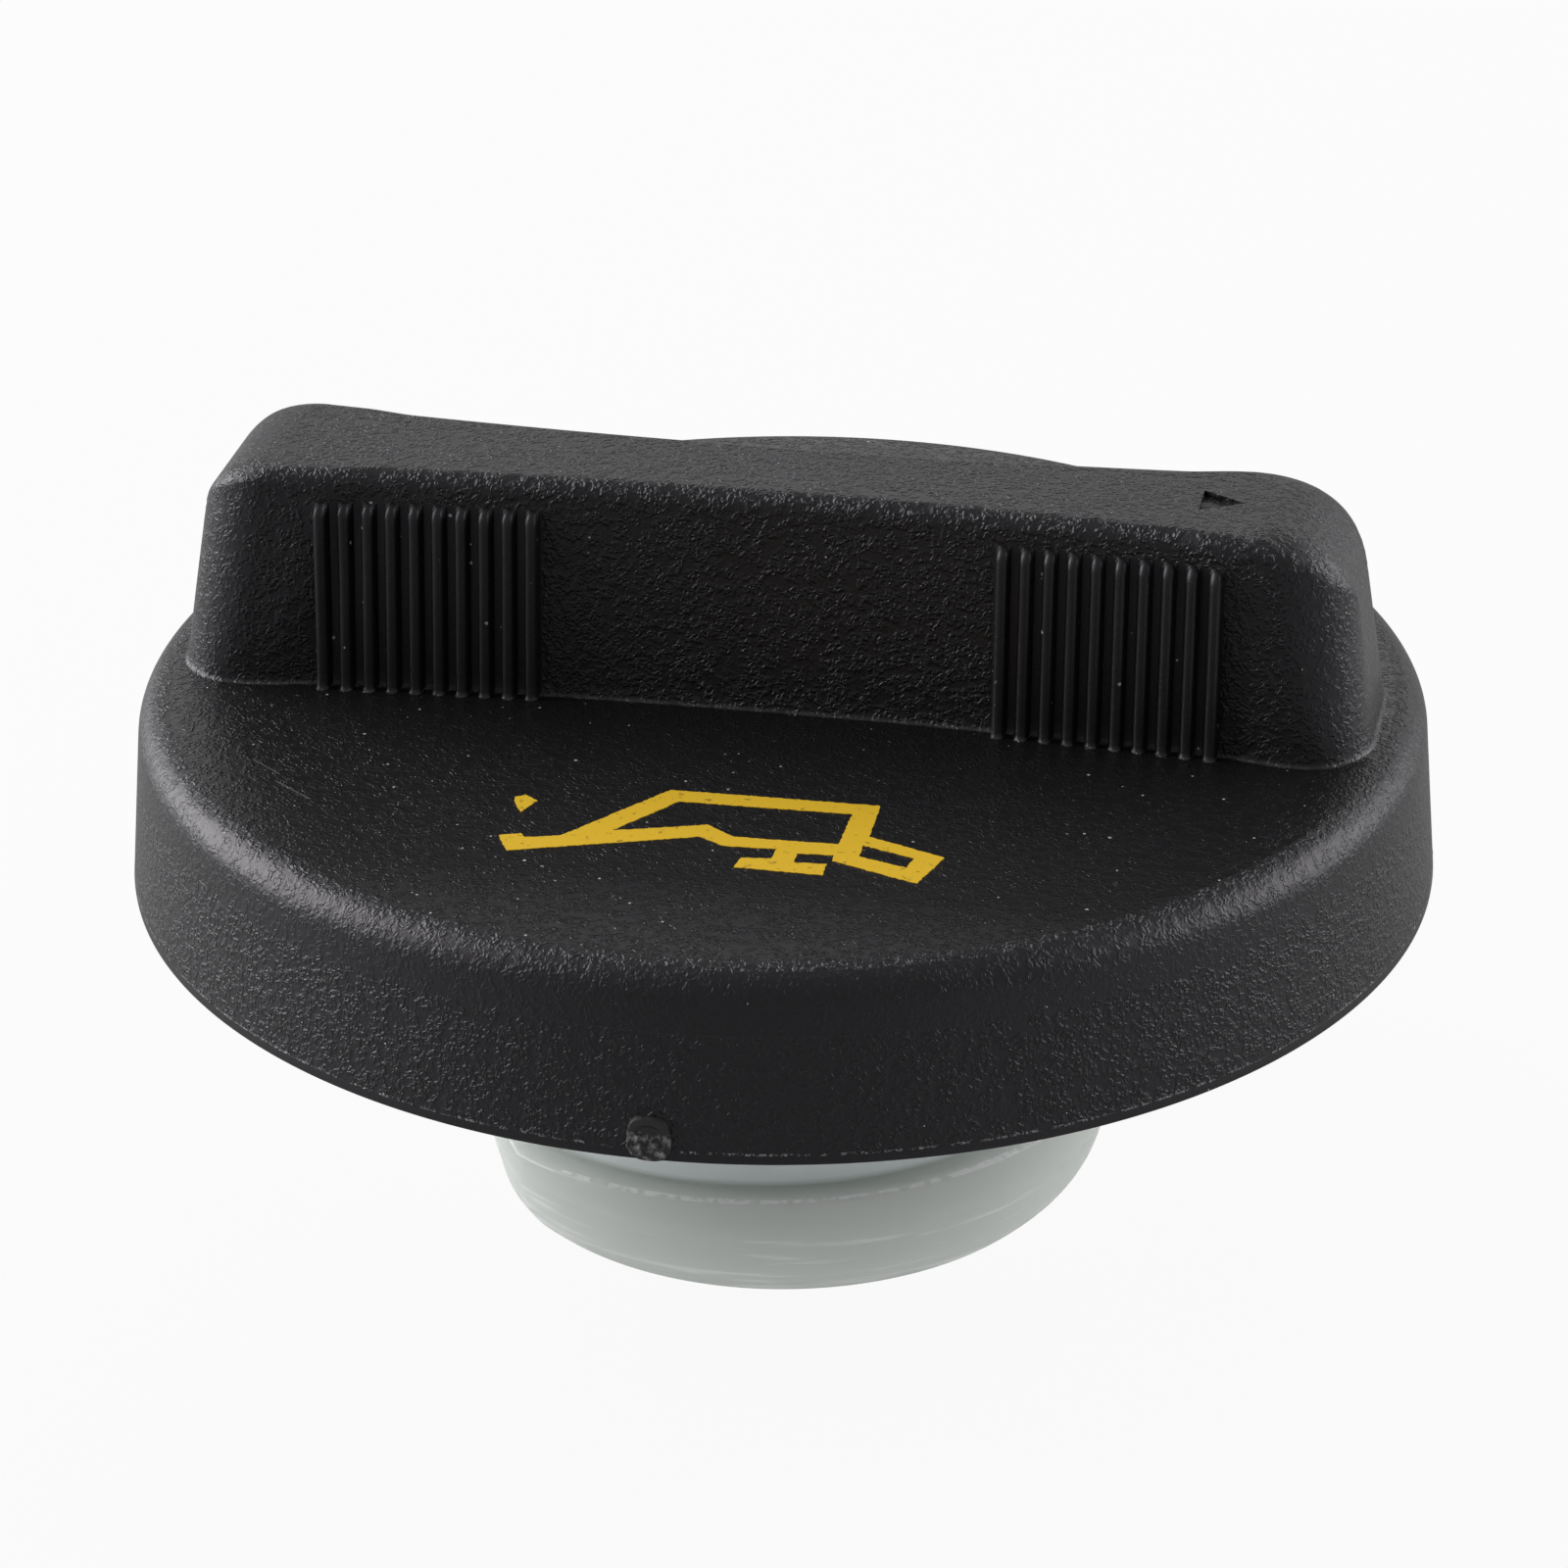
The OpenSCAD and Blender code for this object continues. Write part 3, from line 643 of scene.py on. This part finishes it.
def plugParts(p):
    # a profile turned round the axis: barrel + (lug - barrel) * the lug's strength, which grows along growSweep
    # and ends in a step, less what the ledge still has to climb there
    start, sweep = p["lugStart"], p["lugSweep"]
    ends = [start, start + sweep, start + 180, start + sweep - 180]
    fine = np.array([-1.2, -0.6, -0.3, 0, 0.1, 0.3, 0.6, 1.2])
    keys = np.array([-90, 90])[:, None] + np.array([-1, 1])[None, :] * p["notchHalf"]
    nearEnds, nearKeys = [e + fine for e in ends], [k + fine[2:6] for k in keys.ravel()]
    degrees = np.concatenate([np.arange(-180, 180, 1.0)] + nearEnds + nearKeys)
    degrees = np.unique(np.round((degrees + 180) % 360 - 180, 3))
    angles = np.radians(degrees)
    turn = (degrees - start) % 180                         # both lugs are the same, half a turn apart
    lug = np.clip(turn / p["growSweep"], 0, 1) * smoothStep((sweep - turn) / 0.9)
    topOf = np.interp(turn, *np.transpose(p["climb"]))     # the ledge climbs along the lug, as a screw thread does
    rows = plugRows(p)
    radius = rows[:, 0:1] + (rows[:, 2:3] - rows[:, 0:1]) * lug
    height = rows[:, 1:2] + (rows[:, 3:4] - rows[:, 1:2]) * lug - rows[:, 4:5] * (p["lugTop"] - topOf) * lug

    under = discTop - topWall
    flangeZ, crownZ = under - p["flangeThick"], under - p["crown"]
    boreEnd = p["bore"] - p["boreRound"]
    ceiling = np.array([(0, crownZ), (8, crownZ), (boreEnd, crownZ)])
    corner = arcPoints(boreEnd, crownZ - p["boreRound"], p["boreRound"], 90, 0, 4)[1:]
    bore = np.array([(p["bore"], 16), (p["bore"], 8), (p["bore"], 2), (p["bore"], 0.2),
                     (p["bore"] + 0.06, 0.06), (p["bore"] + 0.2, 0)])
    inner = np.concatenate([ceiling, corner, bore])
    barrel = np.array([(p["barrel"], z) for z in (9, 12, 16, 20, flangeZ)])
    flange = np.array([(p["flange"], flangeZ), (p["flange"], under)])
    notch = smoothStep((p["notchHalf"] - np.abs(degrees % 180 - 90)) / 0.1)
    wide = np.ones_like(angles)
    r = np.concatenate([inner[:, :1] * wide, radius, barrel[:, :1] * wide,
                        flange[:, :1] * wide - notch * p["notchDeep"], (flange[1:, :1] - 3) * wide, 0 * wide[None]])
    z = np.concatenate([inner[:, 1:] * wide, height, barrel[:, 1:] * wide, flange[:, 1:] * wide,
                        under * wide[None], under * wide[None]])
    return [gridPart(np.stack([r * np.cos(angles), r * np.sin(angles), z], -1))]


plug = makeObject("bayonetPlug", plugParts(plugSet), milky, 50)
dress(plug, "plug_natural", "bayonet_plug")
print("plug done", len(plug.data.polygons))


signSet = {"top": 29.025, "foot": 28.9, "ragged": 0.035, "step": 0.16, "seed": 40}
signOutlines = {
    "drop": [[(-10.58, -16.95), (-10.11, -16.64), (-9.33, -17.15), (-9.88, -18.57), (-10.43, -17.58)]],
    "can": [[(-10.37, -21.37), (-9.27, -20.91), (-9.03, -21.34), (-7.26, -20.79), (-2.91, -14.72), (7.99, -14.56),
             (8.06, -18.09), (12.19, -19.69), (11.3, -22.73), (6.76, -21.08), (6.65, -20.47), (4.85, -20.6),
             (4.85, -21.57), (6.51, -21.47), (6.54, -22.71), (2.01, -22.65), (2.17, -21.57), (3.67, -21.37),
             (3.74, -20.3), (1.08, -20.46), (-0.34, -19.66), (-9.56, -22.92)],
            [(-4.87, -19.79), (-2.21, -15.95), (6.75, -15.75), (6.69, -19.2), (1.33, -19.35), (-0.21, -18.27)],
            [(7.92, -19.09), (10.71, -20.05), (10.49, -21.14), (7.96, -20.35)]]}


def roughLoop(corners, s, seed):
    # from corner to corner in short steps, a + (b - a) t, and each point moved by up to ragged at random
    corners = np.array(corners, float)
    pieces = []
    for a, b in zip(corners, np.roll(corners, -1, axis=0)):
        steps = max(2, int(np.hypot(*(b - a)) / s["step"]))
        pieces.append(a + (b - a) * np.linspace(0, 1, steps)[:-1, None])
    loop = np.concatenate(pieces)
    return loop + (np.random.default_rng(seed).random(loop.shape) - 0.5) * 2 * s["ragged"]


def signParts(s):                  # each outline, holes and all, at two heights, as a thin plate
    parts = []
    for number, loops in enumerate(signOutlines.values()):
        rough = [roughLoop(loop, s, s["seed"] + 10 * number + i) for i, loop in enumerate(loops)]
        flat = np.concatenate(rough)
        count = len(flat)
        caps = np.array(tessellate_polygon([[Vector((x, y, 0)) for x, y in loop] for loop in rough]))
        points = np.concatenate([np.column_stack([flat, np.full(count, h)]) for h in (s["foot"], s["top"])])
        parts.append((points, np.concatenate([caps, caps + count])))
        first = 0
        for loop in rough:
            i = np.arange(len(loop))
            j = (i + 1) % len(loop)
            parts.append((points, np.stack([i, j, j + count, i + count], -1) + first))
            first += len(loop)
    return parts


sign = makeObject("oilSign", signParts(signSet), yellow, 30)
dress(sign, "cap_black", "grip_cap")
print("sign done", len(sign.data.polygons))


cameraSet = {"lens": 132.27, "sensor": 36, "distance": 312.1, "elevation": 26.238, "azimuth": 11.406,
             "roll": 0.352, "aside": -0.041, "up": -3.126, "aimHeight": 19.0}         # mm and degrees


def makeCamera(c):
    a, e = math.radians(c["azimuth"]), math.radians(c["elevation"])
    right = Vector((math.cos(a), math.sin(a), 0))
    away = Vector((-math.sin(a), math.cos(a), 0))
    forward = away * math.cos(e) - Vector((0, 0, math.sin(e)))
    up = away * math.sin(e) + Vector((0, 0, math.cos(e)))
    r = math.radians(c["roll"])
    tiltedRight = right * math.cos(r) - up * math.sin(r)
    tiltedUp = up * math.cos(r) + right * math.sin(r)
    place = Vector((0, 0, c["aimHeight"])) - forward * c["distance"] - right * c["aside"] - up * c["up"]
    data = bpy.data.cameras.new("camera")
    data.lens, data.sensor_width = c["lens"], c["sensor"]
    data.clip_start, data.clip_end = 0.02, 20
    camera = bpy.data.objects.new("camera", data)
    turn = Matrix((tiltedRight, tiltedUp, -forward)).transposed().to_4x4()
    camera.matrix_world = Matrix.Translation(place * mm) @ turn
    scene.collection.objects.link(camera)
    scene.camera = camera


lampSets = {                      # metres and watts
    "leftBox": {"place": (-0.7, 0.12, 0.35), "width": 0.75, "height": 0.7, "watts": 9.5},
    "rightBox": {"place": (0.7, 0.33, 0.3), "width": 0.7, "height": 0.6, "watts": 4.8},
    "backBox": {"place": (0.0, 0.9, 0.35), "width": 1.2, "height": 0.35, "watts": 1.3}}
lampAim = (0, 0, 0.02)
worldLight = 0.27


def softbox(name, s):
    light = bpy.data.lights.new(name, "AREA")
    light.shape, light.size, light.size_y, light.energy = "RECTANGLE", s["width"], s["height"], s["watts"]
    lamp = bpy.data.objects.new(name, light)
    lamp.location = s["place"]
    lamp.rotation_mode = "QUATERNION"
    lamp.rotation_quaternion = (Vector(lampAim) - Vector(s["place"])).to_track_quat("-Z", "Y")
    scene.collection.objects.link(lamp)


makeCamera(cameraSet)
for name, lampSet in lampSets.items():
    softbox(name, lampSet)

world = bpy.data.worlds.new("studio")
scene.world = world
world.use_nodes = True
world.node_tree.nodes["Background"].inputs[0].default_value = grey(1)
world.node_tree.nodes["Background"].inputs[1].default_value = worldLight
print("lights done")


# half in metres; dark to light across the floor, painted shade in front of the cap that the cap mirrors; the floor is
# paler for diffuse rays and glows for them, painted light on the cap from below; the rest is how white each ray sees it
floorSet = {"half": 3.0, "dark": 0.2, "light": 0.46, "alongX": 0.012, "alongY": 0.006, "middle": 0.3,
            "paintedBounceLight": 0.85, "toCamera": 0.94, "toGlossy": 0.1, "paintedFillGlow": 0.45, "toThrough": 0.85}


def makeFloor(s):
    half = s["half"]
    mesh = bpy.data.meshes.new("floor")
    mesh.from_pydata([(-half, -half, 0), (half, -half, 0), (half, half, 0), (-half, half, 0)], [], [(0, 1, 2, 3)])
    floor = bpy.data.objects.new("floor", mesh)
    scene.collection.objects.link(floor)
    f = Finish("paleFloor")
    ray = f.node("ShaderNodeLightPath")
    x, y = f.axes(f.where())[:2]
    # painted shade: the floor is darker in front of the cap, so the cap's reflections there are darker
    side = (abs(x) * s["alongX"] + y * s["alongY"] + s["middle"]).clipped()       # darker in front of the cap
    paintedShadeFloor = f.mixed(side, grey(s["dark"]), grey(s["light"]))
    # painted light: diffuse rays see the floor paler, which lights the cap more from below
    pale = f.mixed(ray.other("Is Diffuse Ray"), paintedShadeFloor, grey(s["paintedBounceLight"]))
    plain = f.node("ShaderNodeBsdfDiffuse", {}, {"Color": pale})
    white = f.node("ShaderNodeEmission", {}, {"Color": grey(1), "Strength": 1.0})
    # the floor also glows for diffuse rays, a painted fill light on the cap from below
    seen = (ray * s["toCamera"] + ray.other("Is Glossy Ray") * s["toGlossy"]
            + ray.other("Is Diffuse Ray") * s["paintedFillGlow"] + ray.other("Is Transmission Ray") * s["toThrough"])
    mixed = f.node("ShaderNodeMixShader", {}, {0: seen.clipped(), 1: plain, 2: white})
    mesh.materials.append(f.out(mixed))


makeFloor(floorSet)
print("floor done")
